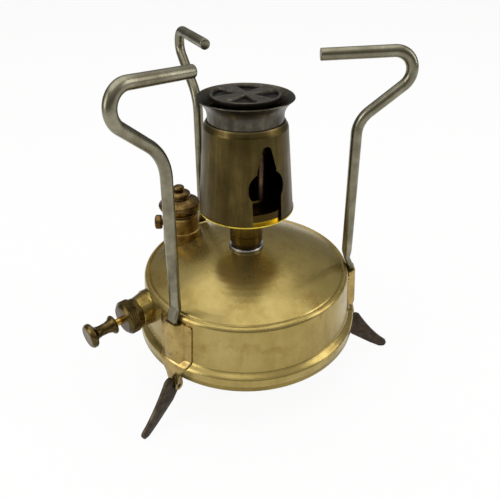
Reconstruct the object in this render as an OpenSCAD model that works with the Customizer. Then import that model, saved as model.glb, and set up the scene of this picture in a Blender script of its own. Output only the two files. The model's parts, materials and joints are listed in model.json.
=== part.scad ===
// Brass kerosene pressure stove for camp or table: a low domed tank on three folding feet,
// three lift-out pot supports, a hand pump, a screwed filler and a roarer burner in a brass shield.
// Millimetres, +Z up. The origin is on the table under the burner's axis, and leg 1 stands on +X.

/* [Tank] */
// Diameter of the tank at its shoulder
tank_d = 150; // [140:1:160]
// How far the wall leans out between the shoulder and the foot band
wall_flare = 2.6; // [1:0.1:4]
// How far the foot band stands out from the wall above it
band_out = 4.6; // [3:0.1:6]
// Height of the foot band
band_h = 15; // [12:0.5:18]
// Height of the tank's underside above the table
tank_z = 36; // [32:1:42]
// Height of the tank from its underside to its shoulder
tank_h = 48; // [44:1:56]
// Rise of the domed top above the shoulder
dome_h = 16; // [12:0.5:20]
// Thickness of the tank's sheet brass
sheet = 1; // [0.8:0.1:1.2]

/* [Legs] */
// Angle of each leg about the burner's axis, from +X
leg_angles = [0, 120, 232];
// Width of a bracket's flanges
bracket_w = 27.6; // [25:0.2:30]
// Distance of each foot's tip from the burner's axis
foot_reach = 115.6; // [110:0.2:120]
// Width of a foot, a plate on edge, at its shoulder
foot_root_w = 19; // [17:0.2:20]
// Width of a foot at its rounded tip
foot_tip_w = 7.4; // [6:0.2:9]
// Thickness of a foot
foot_t = 2; // [1.6:0.1:2.6]
// Diameter of a foot's hinge pin
foot_pin_d = 3; // [2.4:0.1:3.4]

/* [Pot supports] */
// Diameter of the steel rod
rod_d = 7.2; // [6:0.1:8]
// Height of the arms' tips above the flame plate
arm_gap = 22; // [16:1:32]
// Distance of the outer bend of each hand-bent rod from the burner's axis
arm_reach = [122.7, 119.8, 120]; // [114:0.1:126]
// Distance of each arm's tip from the burner's axis
arm_tip_r = [44, 48.5, 45.5]; // [40:0.1:50]
// How much lower each hook is bent than the highest one
arm_drop = [0, 2.6, 0.3]; // [0:0.1:4]
// Angle that each hook is bent sideways, anticlockwise seen from above
arm_turn = [-0.8, -4.6, -1.4]; // [-6:0.1:6]
// Rise of an arm from its tip to its outer bend
arm_rise = 3.8; // [0:0.2:5]
// Drop from the outer bend to the knee
hook_drop = 43.4; // [38:0.2:48]
// Distance of the knee from the burner's axis
knee_r = 70.3; // [67:0.1:73]
// Width of the flattened tang
tang_w = 8.2; // [7.4:0.1:9]
// Thickness of the flattened tang
tang_t = 4; // [3.4:0.1:4.4]
// Length of the tang in its pocket
tang_l = 29; // [24:1:29]

/* [Filler] */
// Distance of the filler's axis from the tank's edge
filler_inset = 19; // [17:0.5:22]
// Angle of the filler about the burner's axis, from +X
filler_angle = 152; // [150:1:175]
// Diameter of the filler neck
neck_d = 27.6; // [25:0.2:30]
// Height of the filler neck's mouth above the shoulder
neck_h = 28; // [26:0.5:34]
// Diameter of the filler's opening
filler_bore_d = 18; // [15:0.2:19]
// Diameter of the filler cap
filler_cap_d = 32; // [29:0.2:34]
// Diameter of the air screw's head
air_head_d = 11; // [9:0.5:12]

/* [Pump] */
// Direction of the pump's outer end, from +X
pump_angle = 222.4; // [219:0.2:225]
// Distance of the pump's axis from the burner's axis
pump_offset = 22; // [21:0.5:23]
// Depth of the pump's axis under the shoulder
pump_drop = 14.5; // [14:0.5:17]
// Outer diameter of the pump barrel
barrel_d = 19; // [18:0.2:19.6]
// Distance of the barrel's inner end from the middle of the tank
barrel_depth = 48; // [44:1:52]
// Diameter of the pump cap over its knurling
pump_cap_d = 24; // [23:0.2:26]
// Width of the pump cap's knurling
knurl_w = 8.3; // [7:0.1:10]
// Diameter of the plunger rod
plunger_d = 5; // [4.4:0.1:5.4]
// Diameter of the pump knob
knob_d = 16.6; // [15:0.2:19]
// Length of the pump knob
knob_l = 19.8; // [18:0.1:22]
// Gap between the pump cap and the knob when the plunger is at rest
knob_gap = 6.1; // [5.6:0.1:9]

/* [Burner] */
// Diameter of the burner's stem
stem_d = 23.2; // [20:0.2:24]
// Height of the stem from its washer to the spirit cup
stem_h = 30; // [24:0.5:36]
// Diameter of the shield at its foot
shield_d = 64.4; // [60:0.2:68]
// Diameter of the shield at its top edge
shield_top_d = 54.4; // [53:0.2:58]
// Height of the shield's cone
shield_h = 57.2; // [52:0.2:62]
// Thickness of the shield, the flame ring and the spirit cup
burner_sheet = 0.9; // [0.7:0.1:1.2]
// Diameter of the flame ring's neck
ring_neck_d = 48.6; // [46:0.2:49]
// Diameter of the flame ring's rim
ring_rim_d = 61.2; // [56:0.2:64]
// Height of the flame ring
ring_h = 23; // [20:0.5:26]
// Diameter of the flame plate
plate_d = 44.2; // [40:0.2:45]
// Direction of the shield's window, from +X
window_angle = 297; // [280:1:315]

/* [Hidden] */

// Round surfaces
round_fn = 96;
small_fn = 48;
// Gap that solder or paint fills between two fixed pieces
seam = 0.05;
// Gap between a loose piece and its seat
seat = 0.1;
// Clearance round a pin or a shaft that turns or slides
fit = 0.06;
// Clearance round a loose screw thread
thread_fit = 0.15;
// A cut runs this far past the face that it opens
past = 1;
// Groove left at each end of a rod's bend, where a core this much thinner joins the lengths
rod_split = 0.1;

// Tank
tank_r = tank_d / 2;
shoulder_z = tank_z + tank_h;
shoulder_round = 3.5;
dome_r = tank_r - 5;
groove_r = tank_r + wall_flare;
groove_z = tank_z + band_h;
band_r = groove_r + band_out;
band_turn_h = 5;
seam_z = tank_z + 5;
socket_r = 11;
socket_l = 14;
land_r = 13.5;
top_z = shoulder_z + dome_h;
dome_sphere_r = (dome_r * dome_r + dome_h * dome_h) / (2 * dome_h);
base_dish_h = 8;
base_top_z = tank_z + base_dish_h + sheet;
wall_lean = atan2(wall_flare, shoulder_z - shoulder_round - groove_z);

// Burner, from the tank up
tail_r = 7.4;
socket_bore_r = tail_r + fit;
washer_t = 1.8;
stem_z = top_z + washer_t;
cup_z = stem_z + stem_h;
shield_z = cup_z + burner_sheet + seat;
shield_top_z = shield_z + shield_h;
shield_roof_h = 2.6;
shield_hole_r = ring_neck_d / 2 + 0.8;
shield_edge_h = 1.2;
shield_lean = (shield_d - shield_top_d) / 2 / (shield_h - shield_edge_h);
cup_wall_h = 7;
cup_wall_r = shield_d / 2 - shield_lean * cup_wall_h - burner_sheet - 0.4;
spigot_r = 8;
spigot_l = 6;
base_block_r = 17;
base_block_z = cup_z + burner_sheet;
base_block_h = 10;
jet_z = base_block_z + base_block_h;
jet_thread_r = 2.6;
jet_thread_l = 4;
head_z = shield_top_z - 5.9;
head_h = 8;
head_r = 20.5;
ring_z = head_z + seat;
ring_rim_z = ring_z + ring_h;
ring_hole_r = 15.9;
plate_z = ring_rim_z - 0.4;
plate_top_z = plate_z + 2;
tube_r = 3.3;
tube_ring_r = 13;
tube_socket_l = 3;
feed_r = 3;
feed_bore_r = 2;

// Pot supports
arm_tip_z = plate_top_z + arm_gap;
arm_corner_z = arm_tip_z + arm_rise;
knee_z = arm_corner_z - hook_drop;
pocket_slack = 0.3;
tang_out = 0.4 + tang_t / 2;
pocket_half_w = tang_w / 2 + pocket_slack;
pocket_out = tang_out + tang_t / 2 + pocket_slack + sheet;
pocket_mouth = -1;
tang_rise = 1.5;
jog_h = 7;
jog_in = 3.4;
taper_l = 4;

// Feet
skin_r = band_r + seam;
foot_pin_r = foot_pin_d / 2;
foot_pin_at = band_r - 2;
foot_pin_z = tank_z - 11.6;
foot_eye_r = foot_pin_r + 2.1;
ear_t = 1.4;
ear_gap = 0.3;
ear_out = foot_t / 2 + ear_gap + ear_t;
ear_r = foot_eye_r;
lip_z = foot_pin_z + foot_eye_r + ear_gap;
foot_tread = 0.4;
foot_heel = 5.9;
foot_tip_r = foot_tip_w / 2;
foot_tip_at = foot_reach - foot_tip_r;
foot_tip_z = foot_tip_r - foot_tread;
foot_slope = atan2(foot_pin_z - foot_tip_z, foot_tip_at - foot_pin_at);
foot_l = norm([foot_tip_at - foot_pin_at, foot_pin_z - foot_tip_z]);

// Filler
filler_r = tank_r - filler_inset;
mouth_z = shoulder_z + neck_h;
neck_r = neck_d / 2;
neck_ring_z = mouth_z - 12.5;
filler_bore_r = filler_bore_d / 2;
filler_plug_l = 4.5;
filler_washer_t = 1;
cap_z = mouth_z + filler_washer_t + 2 * seat;
air_z = mouth_z - 8;
air_r = 2.4;
air_head_t = 5;
air_head_at = neck_r + 1;

// Pump, along its own axis from the middle of the tank
pump_z = shoulder_z - pump_drop;
barrel_r = barrel_d / 2;
barrel_wall = 0.9;
barrel_bore_r = barrel_r - barrel_wall;
pump_wall_at = sqrt(tank_r * tank_r - pump_offset * pump_offset);
boss_l = 10.9;
boss_end = pump_wall_at + boss_l;
cap_ring_w = 3.2;
cap_ring_r = barrel_r + 0.9;
pump_cap_r = pump_cap_d / 2;
pump_cap_end = boss_end + seam + cap_ring_w + knurl_w;
pump_cap_face = 2;
plunger_r = plunger_d / 2;
knob_at = pump_cap_end + knob_gap;
knob_bore_l = 12;
knob_r = knob_d / 2;
barrel_floor = 2;
valve_head_l = 2.5;
valve_head_r = 6.4;
valve_shank_r = 4;
valve_shank_l = 12;
valve_chamber_r = 2.9;
valve_wall = 1;
valve_port_r = 1.1;
leather_t = 1.2;
leather_r = barrel_bore_r - 0.1;
leather_skirt = 5;
leather_plate_t = 1.2;
leather_nut_l = 3;
plunger_push = 5;
leather_at = barrel_floor - barrel_depth + valve_head_l + leather_t + leather_skirt + plunger_push + 0.3;
valve_seat_at = -barrel_depth - 0.5;
valve_floor_at = -barrel_depth - valve_shank_l + valve_wall;
seal_t = 1.1;
pip_r = valve_chamber_r - 0.3;
pip_l = 3.8;
spring_wire = 0.45;
spring_r = 1.9;
spring_turns = 4;
valve_travel = 1.2;

// Points of an arc about c, from angle a0 to a1
function arc(c, r, a0, a1, n = 8) =
    [for (i = [0:n]) c + r * [cos(a0 + (a1 - a0) * i / n), sin(a0 + (a1 - a0) * i / n)]];
function unit(v) = v / norm(v);
function left_of(v) = [-v[1], v[0]];
function side(path, i) = left_of(unit(path[i + 1] - path[i]));
// Direction from a path's point to the same point of the path that runs beside it
function mitre(path, i) =
    let (last = len(path) - 1,
         a = side(path, max(i - 1, 0)),
         b = side(path, min(i, last - 1)))
    (a + b) / (1 + a * b);
function beside(path, gap) = [for (i = [0:len(path) - 1]) path[i] + gap * mitre(path, i)];
function reversed(path) = [for (i = [len(path) - 1:-1:0]) path[i]];
function heading(v) = atan2(v[1], v[0]);
function at_angle(r, a) = [r * cos(a), r * sin(a), 0];

// Sheet metal turned about Z: its outer side follows the path, its wall lies to the right
module spun(path, t) {
    rotate_extrude($fn = round_fn) polygon(concat(path, reversed(beside(path, -t))));
}

// A tube or ring about Z
module ring(r_out, r_in, h) {
    difference() {
        cylinder(r = r_out, h = h, $fn = round_fn);
        translate([0, 0, -past]) cylinder(r = r_in, h = h + 2 * past, $fn = round_fn);
    }
}

// A disc with a chamfer c on the edges of its two ends
module chamfered(r, h, c) {
    rotate_extrude($fn = round_fn)
        polygon([[0, 0], [r - c, 0], [r, c], [r, h - c], [r - c, h], [0, h]]);
}

// Places things on a leg: x is outwards, y along the tank's wall
module on_leg(i) {
    rotate([0, 0, leg_angles[i - 1]]) children();
}

// On a leg, at the pocket's mouth: z runs up the leaning wall and x away from it
module on_wall() {
    translate([tank_r, 0, shoulder_z - shoulder_round]) rotate([0, -wall_lean, 0]) children();
}

// An outline of [x, z] points given a width along y
module across(w) {
    translate([0, w / 2, 0]) rotate([90, 0, 0]) linear_extrude(w) children();
}

module on_filler(z) {
    translate(at_angle(filler_r, filler_angle) + [0, 0, z]) children();
}

// Along the pump: z is outwards from the middle of the tank
module on_pump(at) {
    translate([0, 0, pump_z]) rotate([0, 0, pump_angle]) translate([at, -pump_offset, 0])
        rotate([0, 90, 0]) children();
}

// ---- Tank ----

function dome_drop(r) = dome_sphere_r - sqrt(dome_sphere_r * dome_sphere_r - r * r);
land_z = top_z - dome_drop(land_r);

// A flat land round the burner's socket, then the dome
dome_path = concat(
    [[socket_r, land_z]],
    [for (i = [0:12])
        let (r = land_r + (dome_r - land_r) * i / 12)
        [r, top_z - dome_drop(r)]]);

shoulder_path = concat(
    [[dome_r + 0.8, shoulder_z - 0.7]],
    arc([tank_r - shoulder_round, shoulder_z - shoulder_round], shoulder_round, 84, 0));

wall_path = concat(
    [[tank_r, shoulder_z - shoulder_round]],
    [for (i = [0:8])
        [groove_r + band_out * (1 - cos(180 * i / 8)) / 2, groove_z - band_turn_h * i / 8]],
    [[band_r, seam_z]]);

shell_path = concat(dome_path, shoulder_path, [for (i = [1:len(wall_path) - 1]) wall_path[i]]);

// The space that the tank fills, with a gap round it
module tank_envelope(gap) {
    skin = beside(concat(shell_path, [[band_r, tank_z]]), gap);
    rotate_extrude($fn = round_fn) polygon(concat([[0, tank_z], [0, skin[0][1]]], skin));
}

module tank_shell() {
    color("#B3A05F") difference() {
        spun(shell_path, sheet);
        on_filler(tank_z) cylinder(r = filler_bore_r, h = tank_h + dome_h, $fn = small_fn);
        on_pump(pump_wall_at - 25) cylinder(r = barrel_r + seam, h = 50, $fn = small_fn);
    }
}

module tank_base() {
    rim_round = 2.2;
    dish_r = band_r - 14;
    dish_edge_h = base_dish_h - 3;
    path = concat(
        [[band_r, seam_z - seam]],
        arc([band_r - rim_round, tank_z + rim_round], rim_round, 0, -90, 6),
        [[dish_r + 9, tank_z + 0.4], [dish_r + 6, tank_z + 3]],
        [for (i = [0:6])
            let (share = 1 - i / 6)
            [dish_r * share, tank_z + base_dish_h - (base_dish_h - dish_edge_h) * share * share]]);
    color("#A8954F") spun(path, sheet);
}

module burner_socket() {
    flange_t = 1.6;
    flange_r = land_r - 0.1;
    color("#A68B45") translate([0, 0, land_z - socket_l]) {
        ring(socket_r, socket_bore_r, socket_l);
        translate([0, 0, socket_l - sheet - flange_t]) ring(flange_r, socket_bore_r, flange_t);
    }
}

module feed_pipe() {
    foot = base_top_z + 3;
    color("#B08D4A") translate([0, 0, foot]) ring(feed_r, feed_bore_r, stem_z - foot);
}

// ---- Legs ----

module leg_bracket(i) {
    corner = 2;
    half_w = bracket_w / 2;
    corner_z = shoulder_z - shoulder_round - 1.5 - corner;
    skin_path = concat(wall_path, [[band_r, lip_z]]);
    right_side = concat(
        [[ear_out + 1.6, lip_z], [half_w - 8, tank_z], [half_w - 4.6, seam_z + 1], [half_w, groove_z - 1]],
        arc([half_w - corner, corner_z], corner, 0, 90, 4));
    left_side = [for (p = reversed(right_side)) [-p[0], p[1]]];
    ear_edge = foot_pin_at - ear_r;
    color("#A89058") on_leg(i) difference() {
        union() {
            // Flanges against the wall, down over the foot band
            intersection() {
                rotate_extrude($fn = round_fn)
                    polygon(concat(beside(skin_path, seam), reversed(beside(skin_path, seam + sheet))));
                translate([tank_r / 2, 0, 0]) rotate([90, 0, 90]) linear_extrude(tank_r)
                    polygon(concat(right_side, left_side));
            }
            difference() {
                on_wall() pocket();
                tank_envelope(seam + sheet / 2);
            }
            // Ears for the foot's hinge
            for (s = [-1, 1])
                translate([0, s * (ear_out - ear_t / 2), 0]) across(ear_t) {
                    translate([foot_pin_at, foot_pin_z]) circle(r = ear_r, $fn = small_fn);
                    polygon([[ear_edge, foot_pin_z], [foot_pin_at, foot_pin_z - 1],
                             [skin_r + sheet, lip_z - 1.5], [skin_r + sheet, tank_z + 0.5],
                             [skin_r, tank_z - 1], [ear_edge, tank_z - 1.6]]);
                }
        }
        // Room for the tang between the tank's wall and the pocket's front
        on_wall() translate([-past, -pocket_half_w, -tang_l - seat])
            cube([past + pocket_out - sheet, 2 * pocket_half_w, tang_l + 10]);
        translate([foot_pin_at, 0, foot_pin_z]) rotate([90, 0, 0])
            cylinder(r = foot_pin_r + seam, h = 2 * (ear_out + past), center = true, $fn = small_fn);
    }
}

// Outside of the pocket: sloping sides, a narrow front and a chin that runs back to the tank
module pocket() {
    inside = -4;
    root_w = 2 * pocket_half_w + 7.6;
    chin_l = 4;
    chin_in = 2.6;
    floor_at = -tang_l - seat - sheet;
    cheek = pocket_half_w + 0.9;
    half = [[inside, root_w / 2], [sheet, root_w / 2],
            [pocket_out - 0.5, cheek], [pocket_out, pocket_half_w]];
    intersection() {
        translate([0, 0, floor_at - chin_l - past])
            linear_extrude(pocket_mouth - floor_at + chin_l + past)
            polygon(concat(half, [for (p = reversed(half)) [p[0], -p[1]]]));
        across(root_w + 2 * past) polygon([
            [inside - past, floor_at - chin_l], [pocket_out - chin_in, floor_at - chin_l],
            [pocket_out + chin_in, floor_at + chin_l + 2], [pocket_out + chin_in, past],
            [inside - past, past]]);
    }
}

module foot_pin(i) {
    recess = 0.5;
    l = 2 * (ear_out - recess);
    color("#6E6A62") on_leg(i) translate([foot_pin_at, 0, foot_pin_z]) rotate([90, 0, 0])
        cylinder(r = foot_pin_r, h = l, center = true, $fn = small_fn);
}

// A plate on edge. Its shoulder stands before the bracket, which stops the foot
module foot(i) {
    root_top = foot_root_w - foot_heel;
    top_at = 2.9;
    top_edge = [for (k = [8:-1:0])
        let (s = k / 8)
        [top_at + (foot_l - top_at) * s, foot_tip_r + (root_top - foot_tip_r) * pow(1 - s, 1.6)]];
    color("#4A4234") on_leg(i) difference() {
        translate([foot_pin_at, 0, foot_pin_z]) rotate([0, foot_slope, 0]) across(foot_t) difference() {
            union() {
                circle(r = foot_eye_r, $fn = small_fn);
                polygon(concat(
                    [[-foot_eye_r / 2, 0], [0, 0.3 - foot_eye_r], [10.5, -foot_heel],
                     [foot_l - 8, -foot_tip_r - 1.1], [foot_l, -foot_tip_r]],
                    top_edge,
                    [[0.3, root_top - 0.4], [-1.2, root_top - 1.9], [-foot_eye_r / 2, root_top - 4.6]]));
                translate([foot_l, 0]) circle(r = foot_tip_r, $fn = small_fn);
            }
            circle(r = foot_pin_r + fit, $fn = small_fn);
        }
        // Clear of the bracket's lip and face
        translate([foot_pin_at - 20, -foot_t, lip_z - ear_gap])
            cube([20 + skin_r + sheet + ear_gap - foot_pin_at, 2 * foot_t, 30]);
        // The tip stands flat on the table
        translate([foot_reach - 30, -foot_t, -20]) cube([60, 2 * foot_t, 20]);
    }
}

// ---- Pot supports ----

// One straight length of rod between two [x, z] points
module rod_length(a, b, d) {
    translate([a[0], 0, a[1]]) rotate([0, 90 - heading(b - a), 0])
        cylinder(d = d, h = norm(b - a), $fn = small_fn);
}

// A rod of diameter d bent in the XZ plane through its corners, each with its own bend radius
module bent_rod(corners, bends, d) {
    last = len(corners) - 1;
    cut = [for (i = [0:last]) i == 0 || i == last ? 0
        : bends[i] * tan(abs(turn_at(corners, i)) / 2)];
    plug_l = 1;
    for (i = [0:last - 1])
        let (u = unit(corners[i + 1] - corners[i]),
             a = corners[i] + cut[i] * u,
             b = corners[i + 1] - cut[i + 1] * u) {
            rod_length(a + (i > 0 ? rod_split : 0) * u, b - (i < last - 1 ? rod_split : 0) * u, d);
            if (i > 0) rod_length(a - plug_l / 2 * u, a + plug_l / 2 * u, d - rod_split);
            if (i < last - 1) rod_length(b - plug_l / 2 * u, b + plug_l / 2 * u, d - rod_split);
        }
    for (i = [1:last - 1])
        let (u = unit(corners[i] - corners[i - 1]),
             turn = turn_at(corners, i),
             trim = rod_split / bends[i] * 180 / PI,
             start = corners[i] - cut[i] * u,
             c = start + sign(turn) * bends[i] * left_of(u))
        translate([c[0], 0, c[1]]) rotate([90, 0, 0])
            rotate([0, 0, heading(start - c) + min(turn, 0) + trim])
            rotate_extrude(angle = abs(turn) - 2 * trim, $fn = small_fn)
            translate([bends[i], 0]) circle(d = d, $fn = small_fn);
}
function turn_at(corners, i) =
    (heading(corners[i + 1] - corners[i]) - heading(corners[i] - corners[i - 1]) + 540) % 360 - 180;

// A point on a leg, from its place in the leaning frame of the pocket
function from_wall(x, z) = [
    tank_r + x * cos(wall_lean) - z * sin(wall_lean),
    shoulder_z - shoulder_round + x * sin(wall_lean) + z * cos(wall_lean)
];

module pot_support(i) {
    tip_bevel = 0.8;
    tip_r = (rod_d - rod_split) / 2;
    drop = [0, arm_drop[i - 1]];
    knee = [knee_r, knee_z] - drop;
    outer = [arm_reach[i - 1], arm_corner_z] - drop;
    tip = [arm_tip_r[i - 1], arm_tip_z] - drop;
    low = from_wall(tang_out, tang_rise);
    high = low + [-jog_in, jog_h];
    up = unit(knee - high);
    inward = unit(tip - outer);
    strip = [from_wall(tang_out, -tang_l), low, high, high + (taper_l - 1) * up];
    color("#8F8F80") on_leg(i) {
        // Flattened tang and jog, then a short taper into the round rod
        across(tang_w) polygon(concat(beside(strip, tang_t / 2), reversed(beside(strip, -tang_t / 2))));
        translate([high[0], 0, high[1]]) rotate([0, 90 - heading(up), 0])
            cylinder(d1 = tang_t, d2 = rod_d - 3 * rod_split, h = taper_l + 1, $fn = small_fn);
        translate([high[0], 0, high[1]]) rotate(arm_turn[i - 1], [up[0], 0, up[1]])
            translate([-high[0], 0, -high[1]]) {
                bent_rod([high + taper_l * up, knee, outer, tip - tip_bevel * inward],
                         [0, 18, 11, 0], rod_d);
                translate([tip[0], 0, tip[1]]) rotate([0, 90 - heading(inward), 0])
                    rotate_extrude($fn = small_fn) polygon([
                        [0, -3], [tip_r, -3], [tip_r, -tip_bevel], [tip_r - tip_bevel, 0], [0, 0]]);
            }
    }
}

// ---- Filler ----

module filler_neck() {
    flare = 1.2;
    color("#8A6230") difference() {
        on_filler(0) rotate_extrude($fn = round_fn)
            polygon([[0, tank_z + 20], [neck_r + flare, tank_z + 20], [neck_r + flare, neck_ring_z - 11.5],
                     [neck_r + 0.9, neck_ring_z - 6.5], [neck_r + 0.4, neck_ring_z],
                     [neck_r - 0.6, neck_ring_z + 0.6], [neck_r - 0.6, mouth_z - 1],
                     [neck_r - 1.6, mouth_z], [0, mouth_z]]);
        tank_envelope(seam);
        on_filler(tank_z) cylinder(r = filler_bore_r, h = 100, $fn = small_fn);
        on_filler(air_z) rotate([0, -90, 0]) cylinder(r = air_r + fit, h = 40, $fn = small_fn);
    }
}

module filler_washer() {
    color("#2E2A26") on_filler(mouth_z + seat)
        ring(neck_r - 1.8, filler_bore_r + 0.3, filler_washer_t);
}

module filler_cap() {
    r = filler_cap_d / 2;
    plug_r = filler_bore_r - thread_fit;
    color("#7A5228") {
        on_filler(cap_z) rotate_extrude($fn = round_fn) polygon(concat(
            [[0, 0], [neck_r - 0.9, 0], [neck_r - 0.5, 0.8], [neck_r - 0.5, 1.6],
             [neck_r - 1.5, 2.2], [neck_r - 1.5, 2.8], [r - 1, 3.6]],
            arc([r - 1.6, 6], 1.6, -60, 60, 6),
            [[r - 1.8, 8.6], [r - 4.2, 10.2], [8.4, 12], [7.4, 12.4]],
            arc([6.6, 14.6], 1.6, -60, 75, 6),
            [[5.2, 17], [2.8, 17.6]],
            arc([2.6, 19.6], 1.5, -50, 80, 6),
            [[1, 21.4], [0, 21.4]]));
        on_filler(cap_z - filler_washer_t - seat - filler_plug_l)
            cylinder(r = plug_r, h = filler_plug_l + filler_washer_t + 2 * seat, $fn = small_fn);
    }
}

module air_screw() {
    inner = filler_bore_r + 0.5;
    color("#8A5A30") on_filler(air_z) rotate([0, -90, 0]) {
        translate([0, 0, inner + 1.5]) cylinder(r = air_r, h = air_head_at - inner - 1.5, $fn = small_fn);
        translate([0, 0, inner]) cylinder(r1 = 1.2, r2 = air_r, h = 1.5, $fn = small_fn);
    }
}

module air_screw_head() {
    color("#7E4F26") on_filler(air_z) rotate([0, -90, 0]) translate([0, 0, air_head_at])
        chamfered(air_head_d / 2, air_head_t, 0.8);
}

// ---- Pump ----

module pump_barrel() {
    length = barrel_depth + boss_end + cap_ring_w;
    color("#A68B45") on_pump(-barrel_depth) difference() {
        cylinder(r = barrel_r, h = length, $fn = small_fn);
        translate([0, 0, barrel_floor]) cylinder(r = barrel_bore_r, h = length, $fn = small_fn);
        translate([0, 0, -past])
            cylinder(r = valve_shank_r + seam, h = barrel_floor + 2 * past, $fn = small_fn);
    }
}

// A plain socket that narrows outwards from a ring at the tank
module pump_boss() {
    outer = barrel_r + 3;
    root_l = 12;
    ring_l = 2.4;
    color("#B09A58") difference() {
        on_pump(pump_wall_at - root_l) rotate_extrude($fn = round_fn) polygon([
            [barrel_r + seam, 0], [outer, 0], [outer, root_l + ring_l], [outer - 0.6, root_l + ring_l + 0.6],
            [outer - 2.1, root_l + boss_l - 0.5], [outer - 2.5, root_l + boss_l],
            [barrel_r + seam, root_l + boss_l]]);
        tank_envelope(seam);
    }
}

module pump_cap() {
    color("#5A4A2A") on_pump(boss_end + seam) difference() {
        rotate_extrude($fn = round_fn) polygon([
            [0, 0], [cap_ring_r, 0], [cap_ring_r + 0.3, 0.4], [cap_ring_r + 0.3, cap_ring_w - 0.3],
            [pump_cap_r - 0.6, cap_ring_w], [pump_cap_r, cap_ring_w + 0.6],
            [pump_cap_r, cap_ring_w + knurl_w - 2.2], [pump_cap_r - 2.6, cap_ring_w + knurl_w],
            [0, cap_ring_w + knurl_w]]);
        translate([0, 0, -past])
            cylinder(r = barrel_r + seam, h = cap_ring_w + seam + past, $fn = small_fn);
        translate([0, 0, -past])
            cylinder(r = barrel_bore_r, h = past + cap_ring_w + knurl_w - pump_cap_face, $fn = small_fn);
        cylinder(r = plunger_r + fit, h = cap_ring_w + knurl_w + past, $fn = small_fn);
    }
}

module plunger_rod() {
    collar_l = 1.8;
    inner = leather_at - leather_t - leather_nut_l - 0.6;
    color("#C79A3E") {
        on_pump(inner) cylinder(r = plunger_r, h = knob_at + knob_bore_l - inner, $fn = small_fn);
        on_pump(leather_at + leather_plate_t)
            cylinder(r = plunger_r + 1.6, h = collar_l, $fn = small_fn);
    }
}

module plunger_knob() {
    head_at = knob_l - 4.2;
    waist_r = plunger_r + 1.2;
    color("#5C5130") on_pump(knob_at) difference() {
        rotate_extrude($fn = round_fn) polygon(concat(
            [[0, 0], [5.2, 0]],
            arc([5.4, 1.2], 1.2, -90, 60, 6),
            [[waist_r + 0.9, 3.6], [waist_r + 0.2, 6], [waist_r, head_at - 5], [waist_r + 0.5, head_at - 2.4],
             [5.6, head_at - 0.8], [knob_r - 0.8, head_at - 0.2]],
            arc([knob_r - 1, head_at + 1], 1, -60, 0, 4),
            [[knob_r, knob_l - 1.6], [knob_r - 1, knob_l - 0.4], [knob_r - 2.4, knob_l], [0, knob_l]]));
        translate([0, 0, -past]) cylinder(r = plunger_r, h = knob_bore_l + past, $fn = small_fn);
    }
}

module pump_leather() {
    wall = 1.1;
    color("#5A3D25") on_pump(leather_at) rotate([180, 0, 0]) difference() {
        chamfered(leather_r, leather_t + leather_skirt, 0.5);
        translate([0, 0, leather_t]) cylinder(r = leather_r - wall, h = 20, $fn = small_fn);
        translate([0, 0, -past]) cylinder(r = plunger_r, h = 20, $fn = small_fn);
    }
}

module leather_plate() {
    color("#A68B45") on_pump(leather_at) ring(leather_r - 1.2, plunger_r, leather_plate_t);
}

module leather_nut() {
    color("#A68B45") on_pump(leather_at - leather_t - leather_nut_l) difference() {
        cylinder(r = 4.4, h = leather_nut_l, $fn = 6);
        translate([0, 0, -past]) cylinder(r = plunger_r, h = 20, $fn = small_fn);
    }
}

module valve_body() {
    color("#B08D4A") difference() {
        union() {
            on_pump(barrel_floor - barrel_depth + seam)
                chamfered(valve_head_r, valve_head_l - seam, 0.4);
            on_pump(-barrel_depth - valve_shank_l)
                cylinder(r = valve_shank_r, h = valve_shank_l + barrel_floor + past, $fn = small_fn);
        }
        on_pump(valve_floor_at)
            cylinder(r = valve_chamber_r, h = valve_seat_at - valve_floor_at, $fn = small_fn);
        on_pump(-barrel_depth - valve_shank_l - past)
            cylinder(r = valve_port_r, h = 40, $fn = small_fn);
    }
}

module valve_seal() {
    color("#2E2A26") on_pump(valve_seat_at - seat - seal_t)
        cylinder(r = pip_r - 0.2, h = seal_t, $fn = small_fn);
}

module valve_pip() {
    color("#C79A3E") {
        on_pump(valve_seat_at - seat - seal_t - pip_l) cylinder(r = pip_r, h = pip_l, $fn = small_fn);
        on_pump(valve_floor_at + valve_travel + 0.3)
            cylinder(r = valve_port_r, h = valve_seat_at - valve_floor_at - 4, $fn = small_fn);
    }
}

// Points round the wire of a coil spring, and the faces that join them
module coil(r, wire, turns, h) {
    around = 8;
    steps = 16 * turns;
    points = [
        for (k = [0:steps], j = [0:around - 1])
            let (a = 360 * k / 16,
                 b = 360 * j / around,
                 reach = r + wire / 2 * cos(b))
            [reach * cos(a), reach * sin(a), wire / 2 + (h - wire) * k / steps + wire / 2 * sin(b)]
    ];
    sides = [
        for (k = [0:steps - 1], j = [0:around - 1])
            let (n = (j + 1) % around)
            [k * around + j, (k + 1) * around + j, (k + 1) * around + n, k * around + n]
    ];
    ends = [[for (j = [0:around - 1]) j], [for (j = [around - 1:-1:0]) steps * around + j]];
    polyhedron(points, concat(sides, ends), convexity = 4);
}

module valve_spring() {
    free = valve_seat_at - seat - seal_t - pip_l - valve_travel - valve_floor_at - 0.2;
    color("#9A9A94") on_pump(valve_floor_at + 0.05) coil(spring_r, spring_wire, spring_turns, free);
}

// ---- Burner ----

module lead_washer() {
    color("#B9B9BC") translate([0, 0, land_z + seam]) difference() {
        chamfered(stem_d / 2 + 0.8, stem_z - land_z - 2 * seam, 0.5);
        translate([0, 0, -past]) cylinder(r = socket_bore_r, h = 10, $fn = round_fn);
    }
}

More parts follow.
